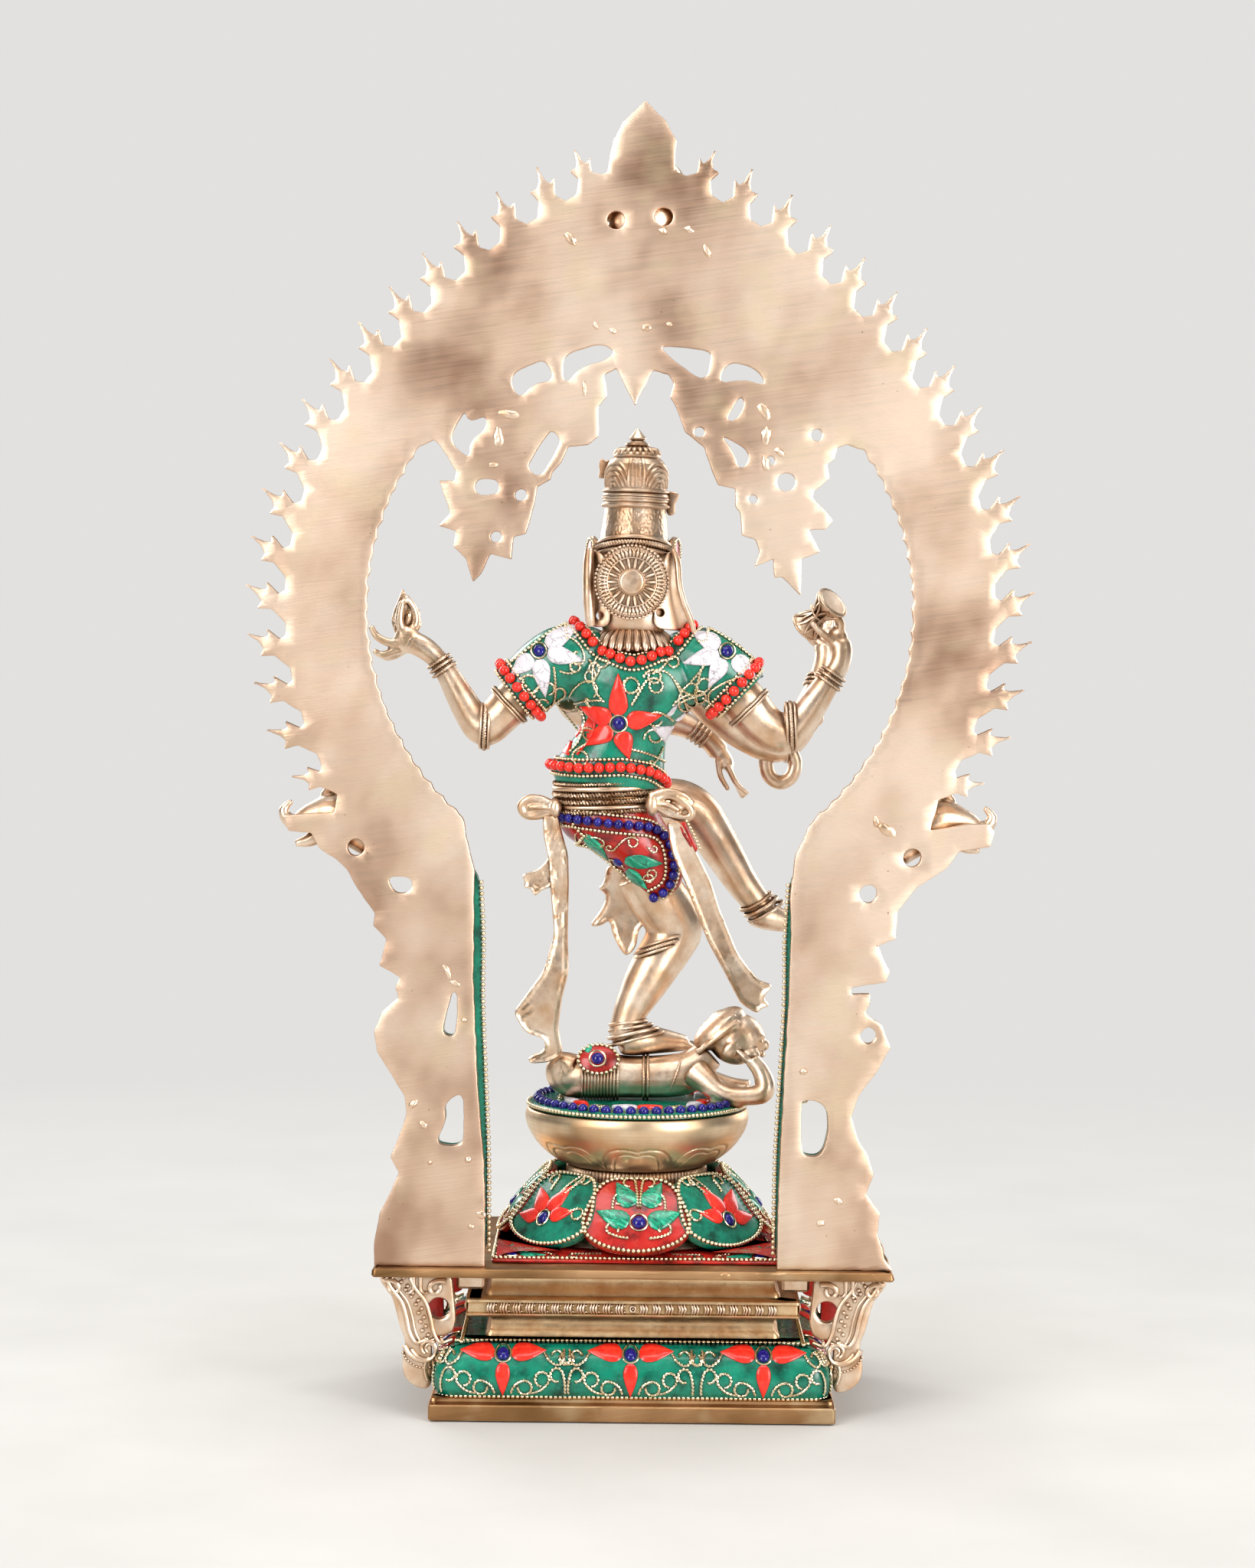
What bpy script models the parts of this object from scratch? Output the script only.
"""Brass nataraja statue: a stepped inlaid base, a lotus, the dancing figure on the dwarf, an arch of flames.

The object stands on the floor with its origin under the middle of the base, +Z up. The figure faces -Y,
and the arch stands along the rear edge of the base at +Y. Design values are millimetres; MM turns them
into metres.
Flat pieces are drawn as seen from behind, so a point (u, z) of an outline lies at x = -u.
"""

import math

import bmesh
import bpy
from mathutils import Matrix, Vector

MM = 0.001
GAP = 0.3  # kept between pieces that rest on each other

# Base
SLAB_HALF_X, SLAB_HALF_Y = 151.0, 92.0
SLAB_LOW, SLAB_TOP = 83.7, 89.4
BASE_HALF_X, BASE_HALF_Y, BASE_TOP = 118.0, 89.0, 9.7
CUSHION_HALF_X, CUSHION_HALF_Y, CUSHION_LOW, CUSHION_TOP = 115.5, 86.5, 10.0, 44.0
RECESS_HALF_X, RECESS_HALF_Y = 83.2, 56.0
MOULDING_HALF_X, MOULDING_HALF_Y, MOULDING_LOW, MOULDING_TOP = 98.0, 70.0, 57.0, 68.0
BRACKET_Y, BRACKET_THICK = 66.0, 8.0

# Lotus, turned round the axis at (LOTUS_X, LOTUS_Y)
LOTUS_X, LOTUS_Y = -1.5, -5.0
PETALS = 8
SKIRT_TOP, SKIRT_TOP_RADIUS = 130.0, 44.0
SKIRT_LOW, SKIRT_LOW_RADIUS = 96.3, 74.0
BOWL_TOP, BOWL_RADIUS = 171.5, 67.0
DISC_TOP = 175.6

# Arch
ARCH_Y, ARCH_THICK = 82.0, 8.0
RING_Z = 470.5  # height of the middle of the ring
RING_OUTER, RING_INNER = 204.0, 156.5
FLAMES = 17  # on each side
FLAME_REACH = 26.0
ARCH_TOP = 760.0
BAND_Y, BAND_THICK = 75.2, 5.0

# Figure
HEAD_X, HEAD_Y = 4.0, 0.0


def vector(x, y, z):
    return Vector((x * MM, y * MM, z * MM))


def new_collection(name):
    collection = bpy.data.collections.new(name)
    bpy.context.scene.collection.children.link(collection)
    return collection


def clear_scene():
    for item in list(bpy.data.objects):
        bpy.data.objects.remove(item, do_unlink=True)


def finish(name, colour, roughness, metallic):
    material = bpy.data.materials.new(name)
    material.use_nodes = True
    shader = material.node_tree.nodes["Principled BSDF"]
    shader.inputs["Base Color"].default_value = (*colour, 1.0)
    shader.inputs["Roughness"].default_value = roughness
    shader.inputs["Metallic"].default_value = metallic
    return material


def place(item, collection, material):
    collection.objects.link(item)
    item.data.materials.clear()
    item.data.materials.append(material)
    return item


def from_bmesh(name, mesh_data, material):
    mesh = bpy.data.meshes.new(name)
    mesh_data.to_mesh(mesh)
    mesh_data.free()
    return place(bpy.data.objects.new(name, mesh), PARTS, material)


def block(name, half_x, half_y, low, high, material, centre=(0.0, 0.0), bevel=1.0, segments=1):
    """A box with rounded edges."""
    shape = bmesh.new()
    bmesh.ops.create_cube(shape, size=1.0)
    size = Matrix.Diagonal((2 * half_x * MM, 2 * half_y * MM, (high - low) * MM, 1.0))
    middle = Matrix.Translation(vector(centre[0], centre[1], (low + high) / 2))
    bmesh.ops.transform(shape, matrix=middle @ size, verts=shape.verts)
    item = from_bmesh(name, shape, material)
    if bevel:
        rounding = item.modifiers.new("Rounded edges", "BEVEL")
        rounding.width = bevel * MM
        rounding.segments = segments
        rounding.limit_method = "ANGLE"
    return item


def turned(name, profile, material, centre=(0.0, 0.0, 0.0), steps=24, axis=(0.0, 0.0, 1.0)):
    """A shape turned from (radius, height) points that run down its outer side and end on the axis."""
    mesh = bpy.data.meshes.new(name)
    points = [(radius * MM, 0.0, height * MM) for radius, height in profile]
    mesh.from_pydata(points, [(i, i + 1) for i in range(len(points) - 1)], [])
    item = place(bpy.data.objects.new(name, mesh), PARTS, material)
    screw = item.modifiers.new("Turning", "SCREW")
    screw.steps = screw.render_steps = steps
    screw.use_merge_vertices = True
    screw.merge_threshold = 0.00005
    screw.use_smooth_shade = True
    item.location = vector(*centre)
    item.rotation_mode = "QUATERNION"
    item.rotation_quaternion = Vector((0, 0, 1)).rotation_difference(Vector(axis).normalized())
    return item


def flat_piece(name, outline, material, y, thickness, holes=()):
    """A plate that stands across Y, from its outline and holes as (u, z) points seen from behind."""
    curve = bpy.data.curves.new(name, "CURVE")
    curve.dimensions = "2D"
    curve.fill_mode = "BOTH"
    curve.extrude = thickness / 2 * MM
    for loop in (outline, *holes):
        spline = curve.splines.new("POLY")
        spline.points.add(len(loop) - 1)
        spline.use_cyclic_u = True
        for point, (u, z) in zip(spline.points, loop):
            point.co = (-u * MM, z * MM, 0.0, 1.0)
    item = place(bpy.data.objects.new(name, curve), PARTS, material)
    item.rotation_euler = (math.pi / 2, 0.0, 0.0)
    item.location = vector(0.0, y, 0.0)
    return item


def limb(name, stations, material):
    """A tube of changing thickness through (x, y, z, radius) stations, as a plain mesh."""
    curve = bpy.data.curves.new(name, "CURVE")
    curve.dimensions = "3D"
    curve.bevel_depth = MM
    curve.bevel_resolution = 2
    curve.use_fill_caps = True
    spline = curve.splines.new("POLY")
    spline.points.add(len(stations) - 1)
    for point, (x, y, z, radius) in zip(spline.points, stations):
        point.co = (x * MM, y * MM, z * MM, 1.0)
        point.radius = radius
    item = place(bpy.data.objects.new(name, curve), PARTS, material)
    return as_mesh(item, material)


def as_mesh(item, material):
    """The curve object made a mesh object with its end caps welded on."""
    bpy.context.view_layer.update()
    graph = bpy.context.evaluated_depsgraph_get()
    mesh = bpy.data.meshes.new_from_object(item.evaluated_get(graph))
    name, matrix = item.name, item.matrix_world.copy()
    bpy.data.objects.remove(item, do_unlink=True)
    shape = bmesh.new()
    shape.from_mesh(mesh)
    bmesh.ops.remove_doubles(shape, verts=shape.verts, dist=0.00001)
    bmesh.ops.recalc_face_normals(shape, faces=shape.faces)
    shape.to_mesh(mesh)
    shape.free()
    made = place(bpy.data.objects.new(name, mesh), PARTS, material)
    made.name = name
    made.matrix_world = matrix
    return made


def loft(name, sections, material, sides=16):
    """A skin over level oval sections given as (x, y, z, half_x, half_y), from the lowest to the highest."""
    shape = bmesh.new()
    rings = []
    for x, y, z, half_x, half_y in sections:
        angles = [2 * math.pi * k / sides for k in range(sides)]
        corners = [vector(x + half_x * math.cos(a), y + half_y * math.sin(a), z) for a in angles]
        rings.append([shape.verts.new(corner) for corner in corners])
    for low, high in zip(rings, rings[1:]):
        for k in range(sides):
            following = (k + 1) % sides
            shape.faces.new((low[k], low[following], high[following], high[k]))
    shape.faces.new(list(reversed(rings[0])))
    shape.faces.new(rings[-1])
    return from_bmesh(name, shape, material)


def ball(name, centre, half_sizes, material, segments=16, rings=10):
    shape = bmesh.new()
    bmesh.ops.create_uvsphere(shape, u_segments=segments, v_segments=rings, radius=1.0)
    size = Matrix.Diagonal((half_sizes[0] * MM, half_sizes[1] * MM, half_sizes[2] * MM, 1.0))
    bmesh.ops.transform(shape, matrix=Matrix.Translation(vector(*centre)) @ size, verts=shape.verts)
    return from_bmesh(name, shape, material)


def to_workshop(item):
    """Makes the object a helper, which shapes others and is not a piece itself."""
    for collection in list(item.users_collection):
        collection.objects.unlink(item)
    WORKSHOP.objects.link(item)
    item.hide_render = True
    item.display_type = "WIRE"
    return item


def joined(item, others):
    """The object with the others fused to it."""
    for other in others:
        fuse = item.modifiers.new("Join " + other.name, "BOOLEAN")
        fuse.operation = "UNION"
        fuse.solver = "EXACT"
        fuse.object = to_workshop(other)
    return item


def clear_of(item, *neighbours):
    """The object cut back from its neighbours, so that the joint between them keeps its gap."""
    for neighbour in neighbours:
        helper = neighbour.copy()
        helper.name = neighbour.name + "_clearance"
        to_workshop(helper)
        swell = helper.modifiers.new("Gap", "DISPLACE")
        swell.mid_level = 0.0
        swell.strength = GAP * MM
        cut = item.modifiers.new("Clear of " + neighbour.name, "BOOLEAN")
        cut.operation = "DIFFERENCE"
        cut.solver = "EXACT"
        cut.object = helper
    return item


def round_hole(u, z, radius, sides=10):
    angles = [2 * math.pi * k / sides for k in range(sides)]
    return [(u + radius * math.cos(a), z + radius * math.sin(a)) for a in angles]


def arc(radius, start, end, steps, centre_z=RING_Z):
    """Points on a circle round the middle of the ring, with the angles in degrees from +u up."""
    angles = [math.radians(start + (end - start) * k / steps) for k in range(steps + 1)]
    return [(radius * math.cos(a), centre_z + radius * math.sin(a)) for a in angles]


def mirrored(points):
    return [(-u, z) for u, z in points]


# ---------------------------------------------------------------- base


def base_plate():
    block("base_plate", BASE_HALF_X, BASE_HALF_Y, 0.0, BASE_TOP, BRASS, bevel=1.5)


def base_cushion():
    """The wide rounded moulding that carries the inlay."""
    block("base_cushion", CUSHION_HALF_X, CUSHION_HALF_Y, CUSHION_LOW, CUSHION_TOP, GREEN,
          bevel=11.0, segments=3)


def base_recesses():
    block("lower_recess", RECESS_HALF_X, RECESS_HALF_Y, CUSHION_TOP + GAP, MOULDING_LOW - GAP, BRASS)
    block("upper_recess", RECESS_HALF_X, RECESS_HALF_Y, MOULDING_TOP + GAP, SLAB_LOW - GAP, BRASS)


def ornament_moulding():
    block("ornament_moulding", MOULDING_HALF_X, MOULDING_HALF_Y, MOULDING_LOW, MOULDING_TOP, BRASS,
          bevel=2.5, segments=2)


def base_slab():
    block("base_slab", SLAB_HALF_X, SLAB_HALF_Y, SLAB_LOW, SLAB_TOP, BRASS, bevel=0.8)


def corner_brackets():
    """Four scrolled brackets under the corners of the slab."""
    outline = [(106, 83.3), (149, 83.3), (147, 76), (141, 70), (138, 60), (136, 51), (132, 42), (135, 31),
               (133, 20), (124, 14.3), (117.5, 15), (116.5, 26), (117.2, 38), (117.5, 45), (106, 46),
               (103, 54), (104, 66)]
    eye = round_hole(113.0, 62.0, 6.5)
    for end, y in (("rear", BRACKET_Y), ("front", -BRACKET_Y)):
        flat_piece(f"{end}_bracket_right", outline, BRASS, y, BRACKET_THICK, [eye])
        flat_piece(f"{end}_bracket_left", mirrored(outline), BRASS, y, BRACKET_THICK, [mirrored(eye)])


def bracket_lugs():
    for name, x in (("bracket_lug_left", 95.0), ("bracket_lug_right", -95.0)):
        block(name, 8.0, 5.0, 73.0, SLAB_LOW - GAP, BRASS, centre=(x, BRACKET_Y - 4.0), bevel=1.5)


# ---------------------------------------------------------------- lotus


def lotus_plate():
    low, high = SLAB_TOP + GAP, SKIRT_LOW - GAP
    block("lotus_plate", 84.5, 77.0, low, high, RED, centre=(LOTUS_X, LOTUS_Y), bevel=1.0)


def lotus_skirt():
    profile = [(0, SKIRT_TOP), (SKIRT_TOP_RADIUS, SKIRT_TOP), (SKIRT_TOP_RADIUS + 8, 121),
               (SKIRT_LOW_RADIUS - 8, 105), (SKIRT_LOW_RADIUS, 98), (SKIRT_LOW_RADIUS, SKIRT_LOW),
               (0, SKIRT_LOW)]
    turned("lotus_skirt", profile, BRASS, (LOTUS_X, LOTUS_Y, 0.0), steps=24)


def skirt_petals():
    """Eight inlaid panels that lean against the skirt, red and green in turn."""
    width_low, width_mid, width_top = 22.5, 24.7, 17.5
    length = 46.0
    outline = [(0, 0), (10, 3), (width_low, 12), (width_mid, 24), (width_top + 2, 36), (width_top - 2, 43),
               (8, length), (-8, length), (2 - width_top, 43), (-width_top - 2, 36), (-width_mid, 24),
               (-width_low, 12), (-10, 3)]
    lean = math.radians(40.0)
    foot_radius, foot_height = 77.5, 97.5
    for k in range(PETALS):
        panel = flat_piece(f"skirt_petal_{k + 1}", outline, RED if k % 2 == 0 else GREEN, 0.0, 3.6)
        around = Matrix.Rotation(2 * math.pi * k / PETALS, 4, "Z")
        foot = Matrix.Translation(vector(0.0, foot_radius, foot_height))
        tilt = Matrix.Rotation(lean, 4, "X")
        stand = Matrix.Rotation(math.pi / 2, 4, "X")
        centre = Matrix.Translation(vector(LOTUS_X, LOTUS_Y, 0.0))
        panel.matrix_world = centre @ around @ foot @ tilt @ stand


def lotus_bowl():
    neck_top = SKIRT_TOP + 7.5
    ring = [(0, neck_top), (43.5, neck_top), (45, neck_top - 2), (45, SKIRT_TOP + 2),
            (43.5, SKIRT_TOP + GAP), (0, SKIRT_TOP + GAP)]
    turned("lotus_neck_ring", ring, BRASS, (LOTUS_X, LOTUS_Y, 0.0))
    bowl = [(0, BOWL_TOP), (65, BOWL_TOP), (BOWL_RADIUS, 166), (63, 156), (54, 146), (44, neck_top + GAP),
            (0, neck_top + GAP)]
    turned("lotus_bowl", bowl, BRASS, (LOTUS_X, LOTUS_Y, 0.0), steps=28)
    disc = [(0, DISC_TOP), (62.5, DISC_TOP), (65.5, 174), (65.5, BOWL_TOP + GAP), (0, BOWL_TOP + GAP)]
    turned("lotus_top_disc", disc, GREEN, (LOTUS_X, LOTUS_Y, 0.0), steps=28)


# ---------------------------------------------------------------- dwarf


def dwarf():
    """The dwarf of ignorance, lying under the dancer with the head raised."""
    body = limb("dwarf_body", [(52, 0, 183, 6), (46, 0, 187, 10), (30, 0, 189, 13), (8, 0, 189, 12.7),
                               (-14, 0, 189.5, 13.2), (-30, 0, 192, 12), (-40, 0, 199, 9), (-46, 0, 206, 8)],
                BRASS)
    clear_of(ball("dwarf_head", (-57, 0, 214), (20.5, 17, 16), BRASS, 14, 8), body)
    arm = limb("dwarf_arm", [(-32, 16, 196, 5.5), (-52, 21, 195, 5.5), (-74, 20, 191, 6), (-78, 20, 186, 5.5),
                             (-66, 20, 182, 5.5), (-50, 20, 181.6, 5.2)], BRASS)
    clear_of(arm, body)
    clear_of(turned("dwarf_hip_lozenge", [(0, 4), (8, 3.5), (11.5, 1.5), (11.5, -3), (0, -3)], RED,
                    (21, 13, 199), 16, (0.0, 1.0, 0.35)), body)
    return body


# ---------------------------------------------------------------- figure


def legs(hip_wrap, belt, dwarf_body):
    standing = limb("standing_leg", [(0, -4, 312, 17), (-10, -7, 298, 18.5), (-20, -12, 278, 18.5),
                                     (-16, -9, 264, 15), (-9, -4, 252, 13.5), (1, 0, 238, 12.5),
                                     (5, 2, 222, 11), (1, 2, 213, 11), (-12, -4, 209.5, 7.2),
                                     (-26, -12, 208, 5.8), (-37, -18, 207, 3.5)], BRASS)
    clear_of(standing, hip_wrap, dwarf_body)
    raised = limb("raised_leg", [(22, -12, 322, 18), (10, -36, 334, 18.5), (-12, -50, 345, 18),
                                 (-30, -54, 349, 16), (-44, -52, 336, 13.5), (-57, -50, 318, 11.5),
                                 (-70, -49, 300, 9.5), (-79, -49, 289, 9), (-90, -54, 281, 7),
                                 (-102, -60, 277, 5), (-111, -64, 275, 3)], BRASS)
    clear_of(raised, hip_wrap, belt)
    return raised


def hips():
    sections = [(-15, -5, 296.5, 17.5, 18), (-13, -5, 303, 21, 20), (-4, -4, 312, 27, 23),
                (8, -3, 324, 33, 26), (14, -2, 336, 33.5, 26.5), (19, -1, 347.5, 30, 24)]
    wrap = loft("hip_wrap", sections, RED)
    belt = loft("ribbed_belt", [(19.5, 0, 347.8, 31, 25), (19.8, 0, 358, 31, 25),
                                (20, 0, 368.7, 31.5, 25.5)], BRASS)
    return wrap, belt


def bodice():
    """The inlaid jacket: the torso and both sleeves, in one casting."""
    sections = [(17.5, 0, 369, 33, 26), (17, 0, 378, 33, 26), (9, 0, 395, 33.5, 27), (1.5, 0, 412, 40, 28),
                (1, 0, 427, 50, 28), (1, 0, 438, 44, 25), (1, 0, 444.7, 30, 21)]
    torso = loft("bodice", sections, GREEN)
    left = limb("sleeve_left", [(31, 2, 439, 18.5), (44, 2, 438, 22.5), (56, 2, 433, 20.5), (66, 2, 425, 18),
                                (73.9, 2, 417.7, 16.5)], GREEN)
    right = limb("sleeve_right", [(-26, 2, 437, 18), (-38, 2, 436, 22.5), (-50, 2, 430, 20.5),
                                  (-60.3, 2, 419.5, 18)], GREEN)
    return joined(torso, [left, right])


def arms(jacket):
    flame_arm = limb("flame_arm", [(66, 2, 424, 12), (75, 2, 416, 12.5), (84, 2, 405, 11.5),
                                   (93, 2, 397, 10.8), (101, 2, 407, 9), (110, 2, 423, 7), (118, 2, 437, 6),
                                   (126, 1, 444, 7.5), (136, 0, 450, 9), (142, 0, 461, 6),
                                   (144, 0, 472, 3.5)], BRASS)
    drum_arm = limb("drum_arm", [(-52, 2, 428, 13), (-62, 2, 417, 14), (-74, 2, 401, 12), (-88, 2, 392, 11),
                                 (-99, 2, 404, 9), (-110, 2, 420, 7), (-119, 2, 435, 6), (-122, 1, 446, 8),
                                 (-123, 0, 459, 6.5), (-120, -1, 467, 4)], BRASS)
    blessing_arm = limb("blessing_arm", [(-34, -18, 420, 11), (-48, -25, 410, 12), (-66, -29, 397, 12),
                                         (-86, -31, 388, 12.5), (-97, -42, 402, 10), (-102, -54, 420, 8),
                                         (-104, -61, 436, 7), (-105, -64, 450, 9), (-105, -66, 466, 7),
                                         (-105, -67, 480, 3)], BRASS)
    crossed_arm = limb("crossed_arm", [(40, -15, 420, 12), (34, -34, 412, 12.5), (16, -46, 406, 12),
                                       (-4, -51, 404, 10.5), (-22, -52, 402, 9), (-42, -51, 394, 7),
                                       (-50, -51, 384, 8), (-58, -51, 368, 6), (-64, -51, 355, 3)], BRASS)
    for arm in (flame_arm, drum_arm, blessing_arm, crossed_arm):
        clear_of(arm, jacket)
    snake = limb("arm_snake", [(-76, -31, 392, 3.5), (-77, -31, 376, 3.5), (-83, -31, 367, 3.5),
                               (-91, -31, 365.5, 3.5), (-98, -31, 371, 3.5), (-101, -31, 382, 3.5),
                               (-98, -31, 392, 3.5)], BRASS)
    clear_of(snake, blessing_arm)


def held_things():
    flame_outline = [(-151, 474), (-136, 473), (-131, 482), (-134, 492), (-139, 486), (-143, 500),
                     (-148, 488), (-154, 494), (-156, 482)]
    flat_piece("hand_flame", flame_outline, BRASS, -8.0, 6.0)
    drum = [(0, 14), (9.5, 13.5), (9.5, 10.5), (4, 1), (4, -1), (9.5, -10.5), (9.5, -13.5), (0, -14)]
    turned("hand_drum", drum, BRASS, (-106, -7, 469), 14, (-0.45, -0.75, 0.45))


def head():
    """The head with its neck, the rings and plates fixed to it, and the tall crown."""
    sections = [(HEAD_X, 0, 445.2, 10.5, 10), (HEAD_X, 0, 458, 10.5, 10), (HEAD_X, -3, 463, 15, 16),
                (HEAD_X, -2, 474, 19, 20.5), (HEAD_X, -1, 488, 20.5, 21.5), (HEAD_X, 0, 504.5, 20, 20.5)]
    loft("head", sections, BRASS)
    collar = [(11, 456), (15, 456.5), (22, 452), (22, 447), (11, 445.2), (11, 456)]
    turned("neck_collar", collar, BRASS, (HEAD_X, 0, 0), steps=20)
    crown = [(0, 570.5), (5, 570), (12.4, 565), (17, 556), (18.4, 549), (18, 542), (19.5, 541),
             (19.5, 530.5), (18.5, 530), (21.5, 512), (23, 511), (24, 504.8), (0, 504.8)]
    turned("crown", crown, BRASS, (HEAD_X, HEAD_Y, 0.0), steps=20)
    turned("crown_finial", [(0, 578.5), (2, 574), (4.5, 570.8), (0, 570.8)], BRASS, (HEAD_X, HEAD_Y, 0.0),
           steps=12)


def halo_wheel():
    """The wheel that is pinned to the back of the head."""
    profile = [(0, 8.5), (6, 8), (6.5, 6), (15, 6), (15.5, 7.5), (20, 7.5), (21.4, 6.5), (21.4, 2.5),
               (4, 2.5), (4, 0), (0, 0)]
    turned("halo_wheel", profile, BRASS, (HEAD_X + 1, 21.5, 486.5), 20, (0.0, 1.0, 0.0))


def hair_and_ears():
    left = [(-32.5, 504), (-25.5, 504), (-25.5, 466), (-29, 463), (-33, 467)]
    right = [(17.5, 500), (23, 500), (31.5, 465), (27, 459), (19, 462), (16.5, 474)]
    flat_piece("hair_flap_left", left, BRASS, 20.5, 3.0)
    flat_piece("hair_flap_right", right, BRASS, 20.5, 3.0)
    for name, side in (("ear_ornament_left", 1), ("ear_ornament_right", -1)):
        profile = [(0, 4.5), (5.5, 4), (7.5, 2), (7.5, 0), (0, 0)]
        turned(name, profile, BRASS, (HEAD_X + side * 21.2, -3, 482), 14, (side, 0.0, 0.0))


def sashes(hip_wrap, raised_leg):
    left = [(-44, 326), (-52, 310), (-49, 277), (-55, 255), (-73, 230), (-66, 218), (-54, 214), (-54, 207),
            (-64, 203), (-63, 199), (-51, 200), (-43, 205), (-46, 221), (-44, 238), (-40, 255), (-41, 277),
            (-40, 310), (-36, 322)]
    right = [(17, 346), (26, 346), (36, 326), (44, 310), (49, 294), (55, 280), (60, 268), (66, 260),
             (72, 252), (82, 249), (75, 242), (80, 237), (74, 235), (72, 232), (62, 238), (53, 255),
             (42, 275), (36, 290), (28, 310), (20, 328)]
    front = [(-27, 313), (-30, 281), (-17, 279), (-6, 262), (8, 284), (-1, 312)]
    clear_of(as_mesh(flat_piece("sash_left", left, BRASS, 14.0, 4.0), BRASS), hip_wrap)
    clear_of(as_mesh(flat_piece("sash_right", right, BRASS, 27.5, 4.0), BRASS), hip_wrap)
    clear_of(as_mesh(flat_piece("sash_front", front, BRASS, -30.5, 4.0), BRASS), hip_wrap, raised_leg)


# ---------------------------------------------------------------- arch


def outer_edge():
    """The edge that the flames of the +u half spring from: round the ring, then the sweep up to the leaf."""
    ring = arc(RING_OUTER, -33.0, 42.0, 22)
    sweep = [(133, 631), (119, 645), (103, 661), (86, 676), (70, 688), (53, 697), (36, 708), (21, 720)]
    return ring + sweep


def along(path, distance):
    """The point at this distance along the path."""
    for start, end in zip(path, path[1:]):
        step = math.dist(start, end)
        if distance <= step:
            share = distance / step
            return tuple(a + share * (b - a) for a, b in zip(start, end))
        distance -= step
    return path[-1]


def flame(low, high, reach):
    """One flame between two points of the edge: a stem, a barb on each shoulder and a leaning finger."""
    rise = Vector(high) - Vector(low)
    lean = (Vector((rise.y, -rise.x)).normalized() + Vector((0.0, 0.55))).normalized()
    across = (rise - rise.dot(lean) * lean).normalized()
    middle = Vector(low) + rise / 2
    shape = ((-0.2, 0.24), (-0.33, 0.52), (-0.15, 0.52), (-0.06, 0.68), (0.0, 1.0), (0.07, 0.66),
             (0.15, 0.54), (0.28, 0.63), (0.18, 0.26))
    stem = [tuple(middle + reach * (a * across + b * lean)) for a, b in shape]
    return [tuple(Vector(low) + 0.14 * rise), *stem, tuple(Vector(low) + 0.86 * rise)]


def flames():
    """The flames of the +u half, from the post up to the leaf."""
    edge = outer_edge()
    total = sum(math.dist(a, b) for a, b in zip(edge, edge[1:]))
    roots = [along(edge, total * k / FLAMES) for k in range(FLAMES + 1)]
    points = []
    for k, (low, high) in enumerate(zip(roots, roots[1:])):
        points += flame(low, high, FLAME_REACH * (0.85 if k in (0, FLAMES - 1) else 1.0))
    return points


def post_right():
    """The outer side of the +u post from the flames down to the slab: the makara, then the leafy edge."""
    return [(168, 345), (192, 349), (202, 349), (205, 344), (203, 336), (185, 333), (178, 323), (161, 312),
            (150, 298), (149, 282), (139, 278), (146, 263), (144, 257), (124, 254), (124, 250), (135, 250),
            (135, 245), (132, 239), (142, 232), (147, 219), (140, 206), (129, 191), (125, 179), (129, 166),
            (135, 156), (138, 145), (134, 134), (142, 123), (141, 111), (144, 103), (145, 96),
            (150, SLAB_TOP + GAP)]


def post_left():
    """The outer side of the other post, from the makara down to the slab."""
    return [(-175, 352), (-204, 350), (-201, 341), (-188, 340), (-183, 331), (-175, 326), (-167, 319),
            (-161, 308), (-151, 294), (-152, 287), (-144, 279), (-148, 264), (-136, 257), (-139, 251),
            (-137, 245), (-146, 237), (-151, 226), (-149, 214), (-140, 200), (-133, 188), (-132, 178),
            (-136, 165), (-141, 153), (-136, 144), (-140, 134), (-147, 120), (-150, 104),
            (-150, SLAB_TOP + GAP)]


def inner_side(side, foot, lace):
    """The inner edge of one half from the slab up to the root of the pendant; side is 1 on the +u half."""
    lower = arc(RING_INNER, -50.0, 36.0, 22)
    edge = [(side * u, z) for u, z in lower]
    return foot + edge + lace


def lace_right():
    """The leafwork inside the ring on the +u half, from the ring up to the pendant."""
    return [(118, 566), (112, 564), (110, 557), (106, 554), (108, 546), (99, 539), (98, 535), (107, 526),
            (110, 522), (106, 517), (96, 517), (103, 504), (92, 500), (92, 479), (81, 490), (77, 489),
            (76, 500), (65, 495), (68, 504), (66, 511), (58, 513), (57, 526), (54, 530), (54, 540),
            (44, 542), (39, 554), (36, 563), (25, 572), (20, 585), (16, 592), (18, 599), (15, 605)]


def lace_left():
    """The leafwork inside the ring on the other half."""
    return [(-119, 566), (-115, 562), (-106, 548), (-107, 543), (-116, 543), (-113, 535), (-109, 524),
            (-116, 517), (-106, 514), (-107, 505), (-100, 498), (-96, 485), (-92, 489), (-86, 501),
            (-74, 498), (-73, 511), (-66, 513), (-63, 523), (-61, 531), (-60, 540), (-52, 544), (-51, 548),
            (-46, 554), (-42, 563), (-31, 564), (-25, 569), (-25, 586), (-20, 592), (-22, 604)]


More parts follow.
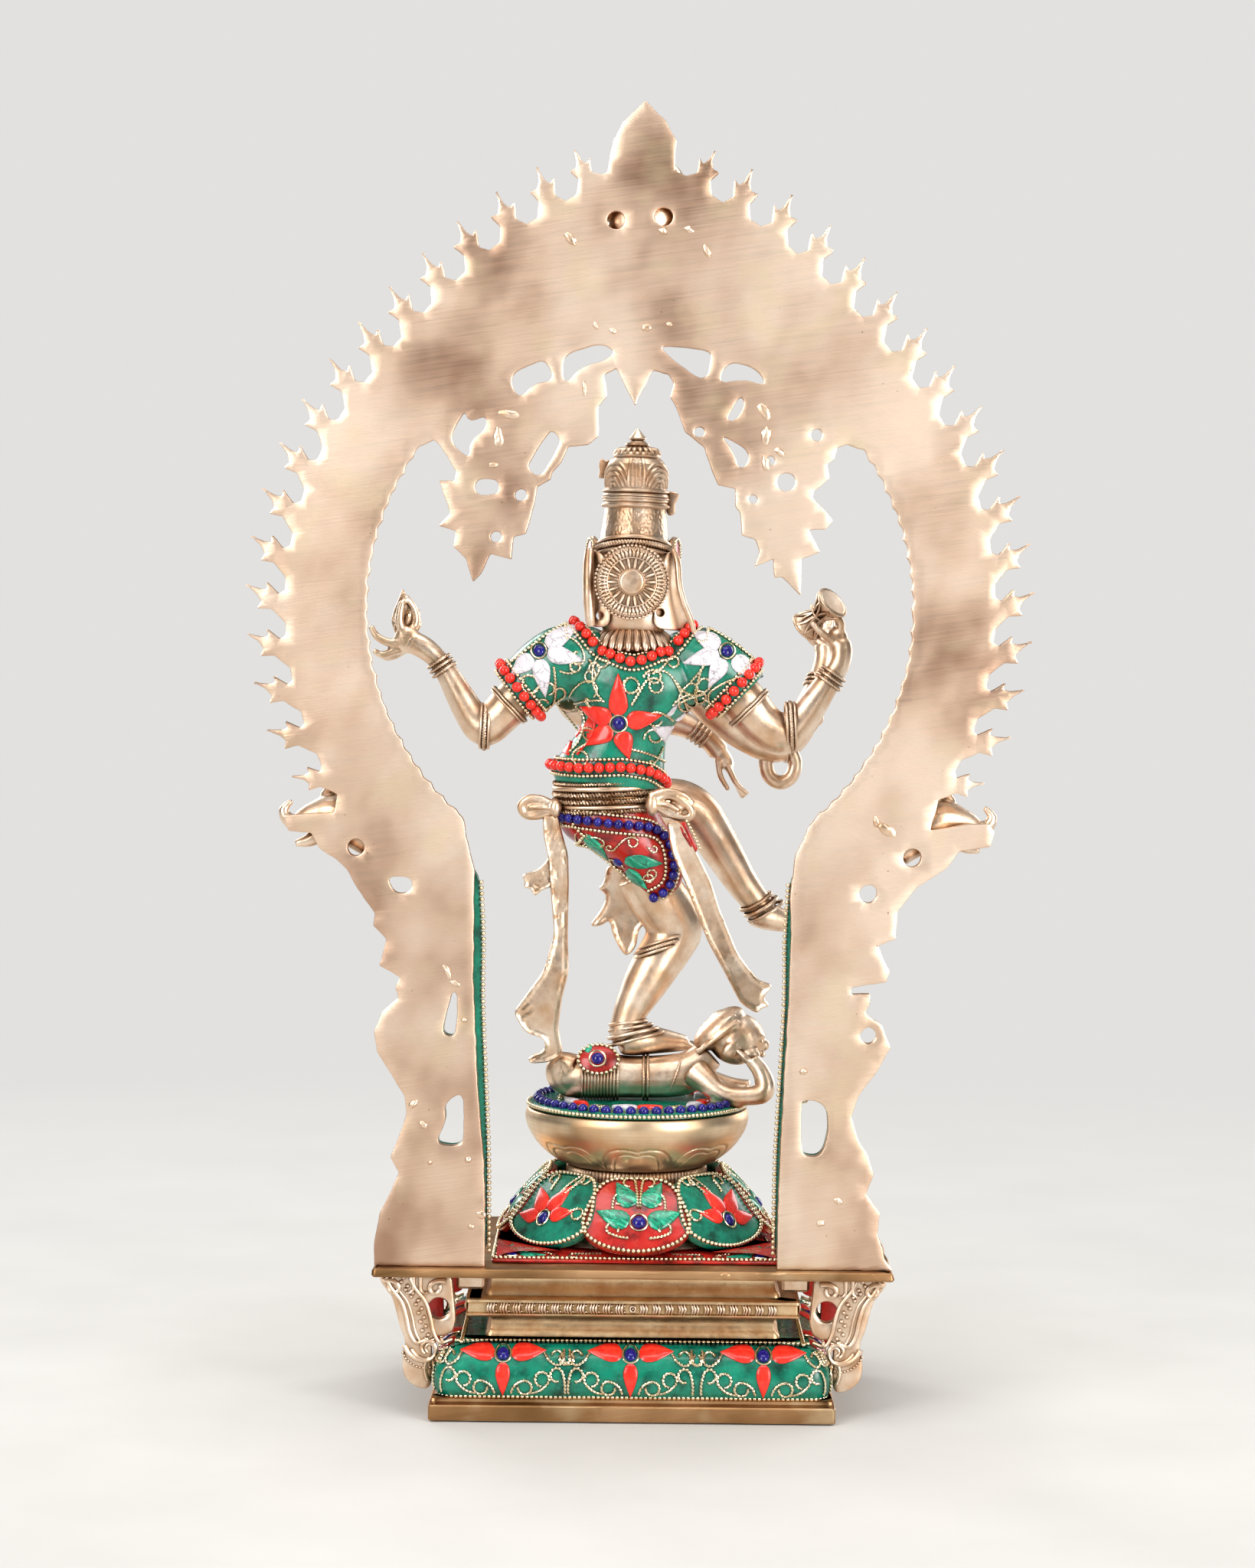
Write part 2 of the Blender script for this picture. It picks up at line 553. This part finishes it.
def arch_holes():
    """Pierced eyes and slots, at hand-filed places that are not quite symmetric."""
    eyes = [(-16, 692, 5.5), (11, 694, 5.5), (-162, 332, 5.2), (158, 329, 5.5), (133, 308, 5.5),
            (-69, 535, 3.6), (-83, 511, 3.4), (83, 544, 5.6), (100, 571, 3.6), (33, 572, 3.2),
            (74, 556, 2.7), (64, 534, 2.7)]
    slots = [
        [(-45, 615), (-25, 622), (-16, 618), (-20, 613), (-35, 608), (-45, 598)],
        [(-76, 603), (-59, 612), (-54, 610), (-51, 601), (-62, 598), (-71, 590)],
        [(9, 621), (36, 619), (40, 616), (36, 601), (21, 610)],
        [(50, 613), (66, 608), (71, 599), (57, 602), (43, 600)],
        [(48, 579), (54, 579), (59, 588), (56, 593)],
        [(-52, 573), (-46, 566), (-58, 545), (-66, 551)],
        [(-102, 583), (-99, 577), (-89, 580), (-89, 573), (-98, 565), (-99, 555), (-110, 566)],
        [(-95, 544), (-83, 544), (-81, 538), (-84, 535), (-95, 535)],
        [(45, 571), (61, 562), (61, 555), (56, 551), (53, 560)],
        [(-144, 315), (-130, 315), (-130, 306), (-140, 306)],
        [(-106, 249), (-103, 247), (-104, 223), (-112, 225)],
        [(-102, 190), (-99, 186), (-99, 160), (-112, 160), (-114, 164), (-109, 173), (-110, 184)],
        [(96, 189), (110, 186), (112, 170), (108, 156), (97, 156)],
        [(128, 226), (134, 232), (140, 226), (134, 220)],
    ]
    return [round_hole(u, z, radius, 8) for u, z, radius in eyes] + slots


def arch_plate():
    """The flat casting behind the figure: posts, ring of flames, pierced leafwork and top leaf."""
    leaf = [(18, 737), (12, 748), (0, ARCH_TOP), (-12, 748), (-18, 737), (-21, 720)]
    outer = list(reversed(post_right())) + flames() + [(17, 720)] + leaf
    outer += list(reversed(mirrored(flames()))) + post_left()
    foot_left = [(-86, SLAB_TOP + GAP), (-86, 116), (-87, 151), (-91, 195), (-94, 254), (-94, 319),
                 (-98, 336)]
    foot_right = [(83, SLAB_TOP + GAP), (83, 105), (84, 154), (86, 199), (88, 244), (89, 281), (88, 307),
                  (91, 330)]
    inner_left = inner_side(-1, foot_left, lace_left())
    inner_right = inner_side(1, foot_right, lace_right())
    pendant = [(6, 607), (-4, 587), (-15, 608)]
    outline = outer + inner_left + list(reversed(pendant)) + list(reversed(inner_right))
    flat_piece("arch_plate", outline, BRASS, ARCH_Y, ARCH_THICK, arch_holes())


def front_bands():
    """The inlaid bands on the front of the arch: one round the ring and one up each post."""
    ring = arc(194.0, -32.0, 212.0, 30) + list(reversed(arc(166.0, -32.0, 212.0, 30)))
    flat_piece("front_ring_band", ring, GREEN, BAND_Y, BAND_THICK)
    post = [(79.5, 96), (130, 96), (122, 150), (118, 180), (128, 215), (122, 262), (134, 300), (140, 318),
            (108, 336), (86, 318), (84, 280), (84, 244), (82, 199), (80, 154)]
    flat_piece("front_post_band_right", post, GREEN, BAND_Y, BAND_THICK)
    flat_piece("front_post_band_left", mirrored([(u + 3, z) for u, z in post]), GREEN, BAND_Y, BAND_THICK)


def front_masks():
    """The lion mask at the crown of the arch and a makara over each post, on the front."""
    mask_y = ARCH_Y - ARCH_THICK / 2 - GAP
    dome = [(0, 22), (10, 20), (20, 13), (25, 4), (25, 0), (0, 0)]
    turned("arch_lion_mask", dome, BRASS, (0.0, mask_y, 695.0), 16, (0.0, -1.0, 0.0))
    for name, side in (("makara_left", 1), ("makara_right", -1)):
        lump = [(0, 14), (8, 12), (14, 6), (16, 0), (0, 0)]
        turned(name, lump, BRASS, (side * 176.0, mask_y, 347.0), 14, (0.0, -1.0, 0.0))


clear_scene()
PARTS = new_collection("Brass nataraja statue")
WORKSHOP = new_collection("Workshop helpers")
BRASS = finish("Cast brass", (0.62, 0.42, 0.17), 0.34, 1.0)
GREEN = finish("Green resin inlay", (0.01, 0.14, 0.09), 0.35, 0.0)
RED = finish("Red resin inlay", (0.42, 0.02, 0.015), 0.35, 0.0)

base_plate()
base_cushion()
base_recesses()
ornament_moulding()
base_slab()
corner_brackets()
bracket_lugs()
lotus_plate()
lotus_skirt()
skirt_petals()
lotus_bowl()
dwarf_body = dwarf()
wrap, belt = hips()
jacket = bodice()
raised_leg = legs(wrap, belt, dwarf_body)
arms(jacket)
held_things()
head()
halo_wheel()
hair_and_ears()
sashes(wrap, raised_leg)
arch_plate()
front_bands()
front_masks()
